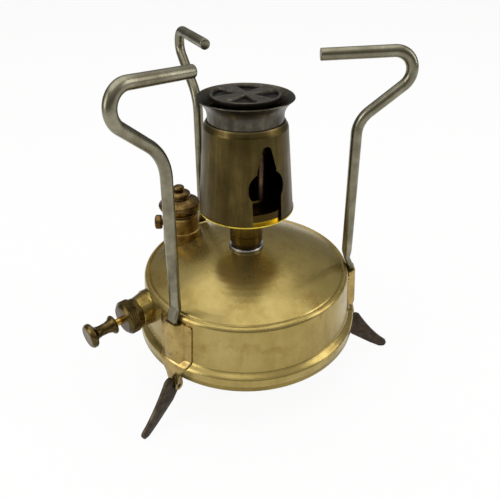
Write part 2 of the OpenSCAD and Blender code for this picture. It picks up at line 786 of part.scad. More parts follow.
module burner_stem() {
    r = stem_d / 2;
    line_at = 9.5;
    tail_l = 13.5;
    color("#5E4A26") difference() {
        union() {
            translate([0, 0, stem_z]) rotate_extrude($fn = round_fn) polygon([
                [0, 0], [r - 1.8, 0], [r - 1.2, 0.8], [r, 3.6], [r, line_at - 0.4], [r - 0.5, line_at],
                [r, line_at + 0.4], [r, stem_h], [0, stem_h]]);
            translate([0, 0, stem_z - tail_l]) cylinder(r = tail_r, h = tail_l, $fn = round_fn);
            translate([0, 0, cup_z]) cylinder(r = spigot_r, h = spigot_l, $fn = round_fn);
        }
        translate([0, 0, stem_z - tail_l - past]) cylinder(r = feed_r, h = tail_l + past, $fn = small_fn);
        translate([0, 0, stem_z - past])
            cylinder(r = feed_bore_r, h = stem_h + spigot_l + 2 * past, $fn = small_fn);
    }
}

module spirit_cup() {
    rim = shield_d / 2 + 0.5;
    color("#D8B93E") translate([0, 0, cup_z]) {
        ring(rim, spigot_r + seam, burner_sheet);
        translate([0, 0, burner_sheet]) ring(cup_wall_r, cup_wall_r - burner_sheet, cup_wall_h);
    }
}

module vaporiser_base() {
    color("#7A6434") difference() {
        translate([0, 0, base_block_z]) chamfered(base_block_r, base_block_h, 1);
        translate([0, 0, cup_z]) cylinder(r = spigot_r + seam, h = spigot_l + seat, $fn = round_fn);
        translate([0, 0, jet_z - jet_thread_l])
            cylinder(r = jet_thread_r, h = jet_thread_l + past, $fn = small_fn);
        tube_holes(jet_z - tube_socket_l, jet_z + past);
    }
}

// The four blind holes that the tubes stand in
module tube_holes(low, high) {
    for (a = [45:90:315])
        translate(at_angle(tube_ring_r, a) + [0, 0, low])
            cylinder(r = tube_r + seam, h = high - low, $fn = small_fn);
}

module jet_nipple() {
    hex_l = 3.5;
    cone_l = 3;
    color("#C79A3E") translate([0, 0, jet_z]) difference() {
        union() {
            translate([0, 0, -jet_thread_l])
                cylinder(r = jet_thread_r - seam, h = jet_thread_l, $fn = small_fn);
            cylinder(r = 4.4, h = hex_l, $fn = 6);
            translate([0, 0, hex_l]) cylinder(r1 = 3, r2 = 1.4, h = cone_l, $fn = small_fn);
        }
        translate([0, 0, -jet_thread_l - past])
            cylinder(r = 0.6, h = jet_thread_l + hex_l + cone_l + 2 * past, $fn = small_fn);
    }
}

module vaporiser_tubes() {
    low = jet_z - tube_socket_l + seam;
    high = head_z - head_h + tube_socket_l - seam;
    color("#9A6A3A") for (a = [45:90:315])
        translate(at_angle(tube_ring_r, a) + [0, 0, low]) ring(tube_r, tube_r - 0.9, high - low);
}

module burner_head() {
    spigot = 2.4;
    color("#6E6248") difference() {
        union() {
            translate([0, 0, head_z - head_h]) chamfered(head_r, head_h, 0.8);
            translate([0, 0, head_z - 1]) cylinder(r = ring_hole_r - 0.2, h = spigot + 1, $fn = round_fn);
        }
        translate([0, 0, head_z - head_h - past])
            cylinder(r = 7, h = head_h + spigot + 2 * past, $fn = round_fn);
        tube_holes(head_z - head_h - past, head_z - head_h + tube_socket_l);
    }
}

module burner_shield() {
    foot_r = shield_d / 2;
    top_r = shield_top_d / 2;
    path = [
        [foot_r, shield_z], [top_r, shield_top_z - shield_edge_h], [top_r - 0.5, shield_top_z],
        [shield_hole_r, shield_top_z + shield_roof_h]
    ];
    color("#5A4B26") difference() {
        spun(reversed(path), burner_sheet);
        rotate([0, 0, window_angle]) translate([6, 0, shield_z]) rotate([90, 0, 90])
            linear_extrude(60) window();
    }
}

// Keyhole window, from the shield's foot up: slot, round opening and narrow top
module window() {
    slot_w = 20.8;
    eye_r = 12.4;
    eye_z = 23.8;
    neck_w = 13.4;
    neck_z = 36;
    top_w = 6.8;
    top_z = 47.4;
    polygon([[-slot_w / 2, -past], [slot_w / 2, -past], [slot_w / 2, eye_z], [-slot_w / 2, eye_z]]);
    translate([0, eye_z]) circle(r = eye_r, $fn = round_fn);
    polygon([[-neck_w / 2, eye_z], [neck_w / 2, eye_z], [neck_w / 2, neck_z], [top_w / 2, top_z],
             [-top_w / 2, top_z], [-neck_w / 2, neck_z]]);
    translate([0, top_z]) circle(r = top_w / 2, $fn = small_fn);
}

module flame_ring() {
    neck = ring_neck_d / 2;
    rim = ring_rim_d / 2;
    flare_h = 11;
    path = concat(
        [[rim - 0.4, ring_rim_z], [rim, ring_rim_z - 0.6]],
        [for (i = [1:7])
            let (s = i / 7)
            [rim - (rim - neck) * (1 - pow(1 - s, 2.2)), ring_rim_z - 0.6 - flare_h * s]],
        [[neck, ring_z + 1.2], [neck - 1.2, ring_z], [ring_hole_r, ring_z]]);
    color("#77756C") spun(path, burner_sheet);
}

module flame_plate() {
    r = plate_d / 2;
    plate_t = 1;
    arm_h = 1;
    rim_w = 1.8;
    leg_r = ring_neck_d / 2 - burner_sheet - 4.4;
    leg_z = ring_z + burner_sheet + seat;
    color("#6A675C") {
        translate([0, 0, plate_z]) cylinder(r = r, h = plate_t, $fn = round_fn);
        // Pressed cross and rim
        translate([0, 0, plate_z + plate_t]) {
            ring(r, r - rim_w, arm_h);
            for (a = [37:90:307])
                rotate([0, 0, a]) linear_extrude(arm_h)
                    polygon([[0, -1.6], [r - rim_w / 2, -6.4], [r - rim_w / 2, 6.4], [0, 1.6]]);
            cylinder(r = 3.4, h = arm_h, $fn = small_fn);
        }
        // Legs that stand on the flame ring's floor
        for (a = [30:120:270])
            rotate([0, 0, a]) translate([leg_r - 1, -2, leg_z]) cube([1, 4, plate_z + 0.5 - leg_z]);
    }
}

tank_shell();
tank_base();
burner_socket();
feed_pipe();
leg_bracket(1);  // leg_bracket_1
leg_bracket(2);  // leg_bracket_2
leg_bracket(3);  // leg_bracket_3
foot_pin(1);  // foot_pin_1
foot_pin(2);  // foot_pin_2
foot_pin(3);  // foot_pin_3
foot(1);  // foot_1
foot(2);  // foot_2
foot(3);  // foot_3
pot_support(1);  // pot_support_1
pot_support(2);  // pot_support_2
pot_support(3);  // pot_support_3
filler_neck();
filler_washer();
filler_cap();
air_screw();
air_screw_head();
pump_barrel();
pump_boss();
pump_cap();
plunger_rod();
plunger_knob();
pump_leather();
leather_plate();
leather_nut();
valve_body();
valve_pip();
valve_seal();
valve_spring();
lead_washer();
burner_stem();
spirit_cup();
vaporiser_base();
jet_nipple();
vaporiser_tubes();
burner_head();
burner_shield();
flame_ring();
flame_plate();
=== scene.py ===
import json
import math
from collections import namedtuple

import bmesh
import bpy
from mathutils import Matrix, Vector


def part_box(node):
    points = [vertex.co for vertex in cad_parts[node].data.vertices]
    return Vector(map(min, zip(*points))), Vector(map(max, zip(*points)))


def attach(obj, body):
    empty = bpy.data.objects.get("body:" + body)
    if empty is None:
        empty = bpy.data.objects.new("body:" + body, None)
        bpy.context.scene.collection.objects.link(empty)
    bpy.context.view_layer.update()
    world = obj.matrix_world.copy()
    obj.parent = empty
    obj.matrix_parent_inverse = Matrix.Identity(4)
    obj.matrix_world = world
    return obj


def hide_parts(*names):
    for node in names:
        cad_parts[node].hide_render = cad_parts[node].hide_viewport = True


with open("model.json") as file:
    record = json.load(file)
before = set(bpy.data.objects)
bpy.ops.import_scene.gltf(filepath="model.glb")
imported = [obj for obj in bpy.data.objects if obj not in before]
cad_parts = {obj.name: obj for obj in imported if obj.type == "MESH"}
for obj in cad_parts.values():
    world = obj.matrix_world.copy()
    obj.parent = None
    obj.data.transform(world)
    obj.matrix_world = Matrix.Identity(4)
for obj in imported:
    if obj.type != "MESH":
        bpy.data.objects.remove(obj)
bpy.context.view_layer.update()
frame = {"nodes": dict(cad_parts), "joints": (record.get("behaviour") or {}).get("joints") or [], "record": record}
nodes = frame["nodes"]

# ---- Sizes, in millimetres, read from the frame or kept as the solids have them ----

MM = 0.001
BODIES = frame["record"]["behaviour"]["bodies"]
BODY_OF = {node: body for body, names in BODIES.items() for node in names}
JOINTS = {joint["name"]: joint for joint in frame["joints"]}


def size(node):
    """Lowest and highest corner of a node, in millimetres."""
    low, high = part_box(node)
    return Vector(low) / MM, Vector(high) / MM


def place(joint):
    return Vector(JOINTS[joint]["pos_m"]) / MM


def about_z(angle):
    return Matrix.Rotation(math.radians(angle), 4, "Z")


def angle_of(v):
    return math.degrees(math.atan2(v[1], v[0]))


LEGS = (1, 2, 3)
LEG_ANGLE = {i: angle_of(place(f"foot_{i}_fold")) for i in LEGS}

# The tank's wall leans out from its shoulder to the groove over the foot band
TANK_R = 75.0
SEAM_Z = size("tank_shell")[0].z
WALL_TOP_Z = SEAM_Z + 39.5
GROOVE_Z = SEAM_Z + 10
WALL_LEAN = math.atan2(2.6, WALL_TOP_Z - GROOVE_Z)
CUP_Z = size("spirit_cup")[0].z
PLATE_Z = size("flame_plate")[1].z
SHIELD_TOP = size("burner_shield")[1].z

# ---- Making of meshes ----


def finished(name, mesh, matrix=None, sharp=35):
    """Puts a mesh in the scene in metres, with its place in its points."""
    if matrix is not None:
        mesh.transform(matrix)
    mesh.transform(Matrix.Scale(MM, 4))
    mesh.shade_smooth()
    mesh.set_sharp_from_angle(angle=math.radians(sharp))
    piece = bpy.data.objects.new(name, mesh)
    bpy.context.scene.collection.objects.link(piece)
    return piece


def ring_of(made, radius, height, steps):
    """Points of a level ring about the vertical."""
    return [
        made.verts.new((radius * math.cos(2 * math.pi * k / steps),
                        radius * math.sin(2 * math.pi * k / steps), height))
        for k in range(steps)
    ]


def band(made, low, high):
    """Faces between two rings of as many points."""
    for k in range(len(low)):
        n = (k + 1) % len(low)
        made.faces.new((low[k], low[n], high[n], high[k]))


def closed_mesh(made, name):
    """The mesh of a closed form, its faces turned outwards."""
    bmesh.ops.recalc_face_normals(made, faces=made.faces)
    mesh = bpy.data.meshes.new(name)
    made.to_mesh(mesh)
    made.free()
    return mesh


def plain_mesh(holder):
    """What an object's curve or modifiers make, as a mesh of its own."""
    return bpy.data.meshes.new_from_object(
        holder.evaluated_get(bpy.context.evaluated_depsgraph_get()))


def lathe(name, outline, steps):
    """Turns a closed outline of (radius, height) about the vertical, as on a lathe."""
    made = bmesh.new()
    rings = [ring_of(made, radius, height, steps) for radius, height in outline]
    for low, high in zip(rings, rings[1:] + rings[:1]):
        band(made, low, high)
    return finished(name, closed_mesh(made, name))


def plate(name, outline, thickness, edge, matrix):
    """A flat plate cut to its outline, with eased edges."""
    curve = bpy.data.curves.new(name, "CURVE")
    curve.dimensions = "2D"
    curve.fill_mode = "BOTH"
    curve.extrude = thickness / 2 - edge
    curve.bevel_depth = edge
    curve.bevel_resolution = 2
    curve.offset = -edge
    spline = curve.splines.new("POLY")
    spline.points.add(len(outline) - 1)
    for point, (x, y) in zip(spline.points, outline):
        point.co = (x, y, 0, 1)
    spline.use_cyclic_u = True
    holder = bpy.data.objects.new(name + "_curve", curve)
    bpy.context.scene.collection.objects.link(holder)
    unwelded = plain_mesh(holder)
    bpy.data.objects.remove(holder)
    bpy.data.curves.remove(curve)
    made = bmesh.new()
    made.from_mesh(unwelded)
    bpy.data.meshes.remove(unwelded)
    bmesh.ops.remove_doubles(made, verts=made.verts, dist=0.001)
    return finished(name, closed_mesh(made, name), matrix)


def swept(name, stations, steps=28):
    """A bar along its stations, each a centre, two half-axes and a squareness of its section."""
    made = bmesh.new()
    rings = []
    for centre, across, through, power in stations:
        ring = []
        for k in range(steps):
            turn = 2 * math.pi * k / steps
            c, s = math.cos(turn), math.sin(turn)
            ring.append(made.verts.new(
                centre + across * math.copysign(abs(c) ** (2 / power), c)
                + through * math.copysign(abs(s) ** (2 / power), s)))
        rings.append(ring)
    for low, high in zip(rings, rings[1:]):
        band(made, low, high)
    made.faces.new(rings[0][::-1])
    made.faces.new(rings[-1])
    return finished(name, closed_mesh(made, name), sharp=40)


def joined(name, pieces):
    """Makes one piece of several."""
    made = bmesh.new()
    for piece in pieces:
        made.from_mesh(piece.data)
        bpy.data.objects.remove(piece)
    mesh = bpy.data.meshes.new(name)
    made.to_mesh(mesh)
    made.free()
    result = bpy.data.objects.new(name, mesh)
    bpy.context.scene.collection.objects.link(result)
    return result


# ---- Materials ----


def linear(code):
    """Linear colour of an sRGB hex code."""
    channels = [int(code[k:k + 2], 16) / 255 for k in (1, 3, 5)]
    return tuple(c / 12.92 if c <= 0.04045 else ((c + 0.055) / 1.055) ** 2.4
                 for c in channels) + (1.0,)


def add(tree, kind, settings=None, links=None, stops=()):
    """Adds a node with its settings, its links and, for a ramp, its (position, hex) stops."""
    node = tree.nodes.new(kind)
    for name, value in (settings or {}).items():
        if isinstance(name, str) and name in node.bl_rna.properties:
            setattr(node, name, value)
        else:
            node.inputs[name].default_value = value
    for name, source in (links or {}).items():
        tree.links.new(source, node.inputs[name])
    for k, (position, code) in enumerate(stops):
        elements = node.color_ramp.elements
        element = elements[k] if k < len(elements) else elements.new(0.5)
        element.position = position
        element.color = linear(code)
    return node


def bare(name):
    """A new material, with its tree, its shader and the place on the object."""
    material = bpy.data.materials.new(name)
    material.use_nodes = True
    tree = material.node_tree
    return material, tree, tree.nodes["Principled BSDF"], \
        add(tree, "ShaderNodeTexCoord").outputs["Object"]


# Width of a shallow dent, in millimetres, and the softness of a spot's edge
DENT_W = 28
SPOT_EDGE = 0.06
# Scratches, in millimetres: real hairlines are under 0.1 wide, and 0.6 is what it takes to show
SCRATCH_W, SCRATCH_L = 0.6, 14.0


def worn_metal(name, stops, patch_mm, rough, scratch=0.04, dent=0.0, stain=None, spun=0.0,
               metallic=1.0, tint=None):
    """Metal with patches of tarnish over a base tone, roughness that follows them, and scratches.

    stops are the tarnish ramp, patch_mm the patches' size, rough the roughness from clean to
    tarnished, scratch and dent the depth of each as bump, stain a (hex, size in mm, share) of
    dark spots, spun the width in mm of streaks up the height, and tint a (height of none, height
    of all, hex) of the colour that it takes on there."""
    material, tree, shader, spot = bare(name)
    shader.inputs["Metallic"].default_value = metallic
    patches = add(tree, "ShaderNodeTexNoise",
                  {"Scale": 1 / (patch_mm * MM), "Detail": 6.0, "Roughness": 0.62},
                  {"Vector": spot})
    tarnish = patches.outputs["Fac"]
    if spun:
        # The pattern is drawn out upwards
        drawn = add(tree, "ShaderNodeMapping", {"Scale": (1.0, 1.0, 0.08)}, {"Vector": spot})
        streaks = add(tree, "ShaderNodeTexNoise",
                      {"Scale": 1 / (spun * MM), "Detail": 4.0, "Roughness": 0.6},
                      {"Vector": drawn.outputs["Vector"]})
        half = add(tree, "ShaderNodeMath", {"operation": "MULTIPLY", 1: 0.5}, {0: tarnish})
        tarnish = add(tree, "ShaderNodeMath", {"operation": "MULTIPLY_ADD", 1: 0.5},
                      {0: streaks.outputs["Fac"], 2: half.outputs[0]}).outputs[0]
    colour = add(tree, "ShaderNodeValToRGB", links={"Fac": tarnish}, stops=stops).outputs["Color"]
    if stain:
        code, spot_mm, share = stain
        spots = add(tree, "ShaderNodeTexNoise",
                    {"Scale": 1 / (spot_mm * MM), "Detail": 8.0, "Roughness": 0.7},
                    {"Vector": spot})
        mask = add(tree, "ShaderNodeMapRange",
                   {"From Min": 1 - share - SPOT_EDGE, "From Max": 1 - share + SPOT_EDGE},
                   {"Value": spots.outputs["Fac"]})
        colour = add(tree, "ShaderNodeMix", {"data_type": "RGBA", 7: linear(code)},
                     {0: mask.outputs["Result"], 6: colour}).outputs[2]
    if tint:
        none_at, all_at, code = tint
        parts = add(tree, "ShaderNodeSeparateXYZ", links={0: spot})
        mask = add(tree, "ShaderNodeMapRange",
                   {"From Min": none_at * MM, "From Max": all_at * MM},
                   {"Value": parts.outputs["Z"]})
        colour = add(tree, "ShaderNodeMix", {"data_type": "RGBA", 7: linear(code)},
                     {0: mask.outputs["Result"], 6: colour}).outputs[2]
    tree.links.new(colour, shader.inputs["Base Color"])
    polish = add(tree, "ShaderNodeMapRange",
                 {"From Min": 0.3, "From Max": 0.7, "To Min": rough[0], "To Max": rough[1]},
                 {"Value": tarnish})
    tree.links.new(polish.outputs["Result"], shader.inputs["Roughness"])
    per_metre = (1 / (SCRATCH_W * MM), 1 / (SCRATCH_L * MM), 1 / (SCRATCH_W * 2 * MM))
    long_way = add(tree, "ShaderNodeMapping", {"Rotation": (0.3, 0.5, 0.9), "Scale": per_metre},
                   {"Vector": spot})
    lines = add(tree, "ShaderNodeTexNoise", {"Scale": 1.0, "Detail": 3.0},
                {"Vector": long_way.outputs["Vector"]})
    bump = add(tree, "ShaderNodeBump", {"Strength": scratch, "Distance": 0.0002},
               {"Height": lines.outputs["Fac"]})
    if dent:
        swell = add(tree, "ShaderNodeTexNoise", {"Scale": 1 / (DENT_W * MM), "Detail": 1.0},
                    {"Vector": spot})
        bump = add(tree, "ShaderNodeBump", {"Strength": dent, "Distance": 0.002},
                   {"Height": swell.outputs["Fac"], "Normal": bump.outputs["Normal"]})
    tree.links.new(bump.outputs["Normal"], shader.inputs["Normal"])
    return material


def dark_rubber():
    """Nitrile rubber, moulded: black and matt."""
    material, tree, shader, spot = bare("moulded_nitrile_rubber")
    shader.inputs["IOR"].default_value = 1.5
    grain = add(tree, "ShaderNodeTexNoise", {"Scale": 1 / (0.6 * MM), "Detail": 4.0},
                {"Vector": spot})
    black = add(tree, "ShaderNodeValToRGB", links={"Fac": grain.outputs["Fac"]},
                stops=[(0.3, "#1E1C1A"), (0.7, "#34302C")])
    tree.links.new(black.outputs["Color"], shader.inputs["Base Color"])
    rough = add(tree, "ShaderNodeMapRange", {"To Min": 0.6, "To Max": 0.8},
                {"Value": grain.outputs["Fac"]})
    tree.links.new(rough.outputs["Result"], shader.inputs["Roughness"])
    return material


def oiled_leather():
    """Vegetable-tanned cowhide, pressed into a cup and oiled: brown, with a fine grain."""
    material, tree, shader, spot = bare("oiled_cowhide")
    shader.inputs["IOR"].default_value = 1.48
    grain = add(tree, "ShaderNodeTexVoronoi", {"Scale": 1 / (0.5 * MM)}, {"Vector": spot})
    tone = add(tree, "ShaderNodeTexNoise", {"Scale": 1 / (3 * MM), "Detail": 5.0},
               {"Vector": spot})
    brown = add(tree, "ShaderNodeValToRGB", links={"Fac": tone.outputs["Fac"]},
                stops=[(0.3, "#3E2614"), (0.7, "#6B4526")])
    tree.links.new(brown.outputs["Color"], shader.inputs["Base Color"])
    bump = add(tree, "ShaderNodeBump", {"Strength": 0.3, "Distance": 0.0001},
               {"Height": grain.outputs["Distance"]})
    tree.links.new(bump.outputs["Normal"], shader.inputs["Normal"])
    shader.inputs["Roughness"].default_value = 0.55
    return material


# Brass sheet, spun and polished, then tarnished by years of handling: a soft mirror in olive gold
TANK_BRASS = worn_metal(
    "polished_tarnished_brass", [(0.3, "#B9A56C"), (0.5, "#A89457"), (0.7, "#8F783D")],
    patch_mm=30, rough=(0.19, 0.32), scratch=0.018, dent=0.05, stain=("#977F45", 20.0, 0.40),
    spun=16.0, metallic=0.82)
# The same sheet in the base pan, duller and browner
BASE_BRASS = worn_metal(
    "rubbed_brass_sheet", [(0.25, "#9C8A4C"), (0.75, "#776434")], patch_mm=24, rough=(0.2, 0.36),
    scratch=0.04)
# Pressed brass strip, soldered on: dull, with brown stains of flux
BRACKET_BRASS = worn_metal(
    "pressed_brass_strip", [(0.25, "#BAA26E"), (0.5, "#A89058"), (0.75, "#8F7A48")], patch_mm=12,
    rough=(0.2, 0.34), scratch=0.06, stain=("#8A6E40", 6.0, 0.36))
# Brass sheet browned by the flame, with drawn streaks up its height, and its top edge painted lighter as a painted
# highlight along the shoulder
SHIELD_BRASS = worn_metal(
    "flame_browned_brass_with_painted_highlight", [(0.3, "#6A5A34"), (0.5, "#4F4324"), (0.7, "#392F18")], patch_mm=24,
    rough=(0.3, 0.46), scratch=0.1, spun=5.0, tint=(SHIELD_TOP - 1.3, SHIELD_TOP - 0.3, "#6E6040"))
# Turned brass of the stem, browned by heat
STEM_BRASS = worn_metal(
    "heat_browned_turned_brass", [(0.25, "#6E5824"), (0.75, "#3E3016")], patch_mm=8,
    rough=(0.25, 0.42), scratch=0.06)
# Brass cup, bright gold along its bottom edge, and painted dark brown from just above it as painted shade under
# the shield
CUP_BRASS = worn_metal(
    "cup_brass_with_painted_shade", [(0.25, "#E3CB52"), (0.75, "#B79A32")], patch_mm=5, rough=(0.2, 0.34),
    scratch=0.1, tint=(CUP_Z + 2.0, CUP_Z + 3.0, "#3E3014"))
# Turned brass with a brown patina that handling wears back to gold
FILLER_BRASS = worn_metal(
    "brown_patina_brass", [(0.3, "#8E7540"), (0.5, "#685230"), (0.7, "#45341A")], patch_mm=7,
    rough=(0.2, 0.38), scratch=0.08, stain=("#4A3018", 4.0, 0.4))
# The same brass on the neck, painted lighter than the cap as painted light against the shade and dark reflection
# that fall on it
NECK_BRASS = worn_metal(
    "neck_brass_painted_lighter", [(0.3, "#C3A768"), (0.5, "#9C7F44"), (0.7, "#6B5228")], patch_mm=7,
    rough=(0.3, 0.44), scratch=0.08, stain=("#5E4322", 4.0, 0.36))
# Turned and knurled brass, oily and dark
PUMP_BRASS = worn_metal(
    "oily_dark_brass", [(0.3, "#6E5C36"), (0.5, "#544526"), (0.7, "#3A2E18")], patch_mm=9,
    rough=(0.22, 0.36), scratch=0.08)
# Turned brass boss, kept bright
BOSS_BRASS = worn_metal(
    "turned_bright_brass", [(0.25, "#AD9A62"), (0.5, "#8D7840"), (0.75, "#5A4822")], patch_mm=9,
    rough=(0.16, 0.3), scratch=0.04)
# Drawn brass rod, polished by its sliding
ROD_BRASS = worn_metal(
    "sliding_polished_brass", [(0.25, "#D6AE50"), (0.75, "#A67C30")], patch_mm=8,
    rough=(0.12, 0.22), scratch=0.05)
# Drawn brass of the pieces inside, clean
PLAIN_BRASS = worn_metal(
    "drawn_brass", [(0.25, "#C8A860"), (0.75, "#9C7E40")], patch_mm=12, rough=(0.25, 0.38),
    scratch=0.06)
# Copper-rich tubes under a film of soot, brown where it is thin
TUBE_COPPER = worn_metal(
    "sooty_copper_tube", [(0.25, "#7E6142"), (0.5, "#564434"), (0.75, "#342A20")], patch_mm=7,
    rough=(0.3, 0.5), scratch=0.06)
# Steel rod with a dull zinc plating, mottled grey with a green cast
SUPPORT_STEEL = worn_metal(
    "dull_zinc_plated_steel", [(0.3, "#96927F"), (0.5, "#7F7A67"), (0.7, "#67614E")],
    patch_mm=14, rough=(0.24, 0.36), scratch=0.05, stain=("#6A6350", 3.0, 0.34))
# Pressed steel strip, browned and oily
FOOT_STEEL = worn_metal(
    "browned_steel_strip", [(0.25, "#5A4F42"), (0.5, "#463B30"), (0.75, "#2F271F")], patch_mm=5,
    rough=(0.36, 0.52), scratch=0.12, metallic=0.85)
# Steel collar scaled by the flame: grey, with straw and violet temper colours
RING_STEEL = worn_metal(
    "flame_scaled_steel", [(0.3, "#6E6856"), (0.5, "#4E4940"), (0.7, "#3A3536")], patch_mm=8,
    rough=(0.24, 0.42), scratch=0.12, spun=4.0)
# Steel plate under soot, darkened in its pockets as painted shade
PLATE_STEEL = worn_metal(
    "sooty_steel_with_painted_pocket_shade", [(0.3, "#6C675C"), (0.5, "#514C43"), (0.7, "#332E28")], patch_mm=5,
    rough=(0.3, 0.46), scratch=0.12, metallic=0.9,
    tint=(PLATE_Z - 0.5, PLATE_Z - 1.6, "#1E1A17"))
# Spring steel wire
SPRING_STEEL = worn_metal(
    "drawn_spring_steel", [(0.3, "#A8A8A2"), (0.7, "#7C7C78")], patch_mm=2, rough=(0.25, 0.35))
# Cast lead, squeezed bright where it is nipped
LEAD = worn_metal(
    "squeezed_lead", [(0.25, "#D2D2D6"), (0.75, "#8E8E96")], patch_mm=3, rough=(0.22, 0.4),
    scratch=0.12)
RUBBER = dark_rubber()
LEATHER = oiled_leather()

NODE_FINISH = {
    TANK_BRASS: ("tank_shell",),
    BASE_BRASS: ("tank_base",),
    BRACKET_BRASS: tuple(f"leg_bracket_{i}" for i in LEGS),
    SHIELD_BRASS: ("burner_shield",),
    STEM_BRASS: ("burner_stem", "vaporiser_base", "burner_head"),
    CUP_BRASS: ("spirit_cup",),
    FILLER_BRASS: ("filler_cap", "air_screw", "air_screw_head"),
    NECK_BRASS: ("filler_neck",),
    PUMP_BRASS: ("pump_cap", "plunger_knob"),
    BOSS_BRASS: ("pump_boss",),
    ROD_BRASS: ("plunger_rod", "valve_pip", "jet_nipple"),
    PLAIN_BRASS: ("burner_socket", "feed_pipe", "pump_barrel", "valve_body", "leather_plate",
                  "leather_nut"),
    TUBE_COPPER: ("vaporiser_tubes",),
    SUPPORT_STEEL: tuple(f"pot_support_{i}" for i in LEGS),
    FOOT_STEEL: tuple(f"foot_{i}" for i in LEGS) + tuple(f"foot_pin_{i}" for i in LEGS),
    RING_STEEL: ("flame_ring",),
    PLATE_STEEL: ("flame_plate",),
    SPRING_STEEL: ("valve_spring",),
    LEAD: ("lead_washer",),
    RUBBER: ("filler_washer", "valve_seal"),
    LEATHER: ("pump_leather",),
}
for finish, names in NODE_FINISH.items():
    for name in names:
        nodes[name].data.materials.clear()
        nodes[name].data.materials.append(finish)

# ---- Sheet and turned pieces, with the eased edges that stamping and turning leave ----


def stand_for(piece, node, finish):
    """Lets a finished piece take a solid's place, on its body and in its material slot."""
    piece.data.materials.clear()
    piece.data.materials.append(finish)
    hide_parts(node)
    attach(piece, BODY_OF[node])


# Within these angles faces are one flat, and past them an edge is sharp enough to break
FLAT_WITHIN = math.radians(0.4)
SHARP_FROM = math.radians(35)


def eased(node, width, finish):
    """A copy of a solid, welded, with every sharp edge broken by a small round."""
    mesh = nodes[node].data.copy()
    mesh.name = f"{node}_eased"
    made = bmesh.new()
    made.from_mesh(mesh)
    bmesh.ops.remove_doubles(made, verts=made.verts, dist=0.002 * MM)
    bmesh.ops.dissolve_limit(made, angle_limit=FLAT_WITHIN, verts=made.verts, edges=made.edges)
    made.to_mesh(mesh)
    made.free()
    piece = bpy.data.objects.new(f"{node}_eased", mesh)
    bpy.context.scene.collection.objects.link(piece)
    bevel = piece.modifiers.new("broken_edges", "BEVEL")
    bevel.width = width * MM
    bevel.segments = 2
    bevel.limit_method = "ANGLE"
    bevel.angle_limit = SHARP_FROM
    bevel.use_clamp_overlap = True
    plain = plain_mesh(piece)
    piece.modifiers.clear()
    piece.data = plain
    plain.shade_smooth()
    plain.set_sharp_from_angle(angle=math.radians(50))
    stand_for(piece, node, finish)


for i in LEGS:
    eased(f"leg_bracket_{i}", 0.3, BRACKET_BRASS)
    eased(f"foot_{i}", 0.35, FOOT_STEEL)

# ---- Pot supports: bent rods with a forged, flattened tang ----

ROD_R = 3.6
TANG_HALF = (4.1, 2.0)
TANG_OUT = 2.4
TANG_L = 29.0
TANG_RISE = 1.5
JOG = Vector((-3.4, 7.0))
JOG_BEND = 4
# How far before the jog's end the flat strip starts to round, and the length that it takes
FLAT_SHORT = 1
ROUNDING_L = 7
# Squareness of a section: 2 is an ellipse, and more is nearer a rectangle
ROUND, FLAT = 2.0, 4.2
KNEE = Vector((70.3, 191.2))
CORNER_Z = 234.6
TIP_Z = 230.8
# Each rod was bent by hand: how far out its outer bend and its tip are, how low it sits, its
# turn in degrees, the radii of its two bends, and how much higher its outer bend and tip are
Hook = namedtuple("Hook", "reach tip_r drop turn knee_bend outer_bend rise tip_rise")
HOOKS = {
    1: Hook(120.3, 43.9, 0.0, -0.5, 18.4, 11.4, 0.0, 0.1),
    2: Hook(120.5, 50.4, 2.6, -4.2, 23.1, 9.7, -0.6, 0.4),
    3: Hook(122.7, 45.7, 0.3, -2.2, 26.6, 11.3, 0.3, -0.3),
}
# Round of a cut end's edge, and the stations that draw it, by their distance from the end
END_ROUND = 0.6
END_STATIONS = (0.0, 0.1, 0.25, 0.42, 0.6)
STATION_STEP = 2.5


def from_wall(out, up):
    """A point on a leg's plane, from its place in the leaning frame of the pocket."""
    c, s = math.cos(WALL_LEAN), math.sin(WALL_LEAN)
    return Vector((TANK_R + out * c - up * s, WALL_TOP_Z + out * s + up * c))


def rounded_way(corners, bends, step=1.2):
    """Points along straight lengths and bends, with the distance run at each."""
    points = [corners[0]]
    for before, here, after, bend in zip(corners, corners[1:], corners[2:], bends):
        a = (before - here).normalized()
        b = (after - here).normalized()
        turn = math.pi - a.angle(b)
        reach = bend * math.tan(turn / 2)
        middle = here + (a + b).normalized() * (bend / math.cos(turn / 2))
        start = here + a * reach - middle
        steps = max(4, int(bend * turn / step))
        way = math.copysign(1, (here - before).cross(after - here))
        for k in range(steps + 1):
            angle = way * turn * k / steps
            c, s = math.cos(angle), math.sin(angle)
            points.append(middle + Vector((start.x * c - start.y * s, start.x * s + start.y * c)))
    points.append(corners[-1])
    run = [0.0]
    for a, b in zip(points, points[1:]):
        run.append(run[-1] + (b - a).length)
    return points, run


def smooth(share):
    """An even share from 0 to 1, eased at both ends."""
    share = min(max(share, 0.0), 1.0)
    return share * share * (3 - 2 * share)


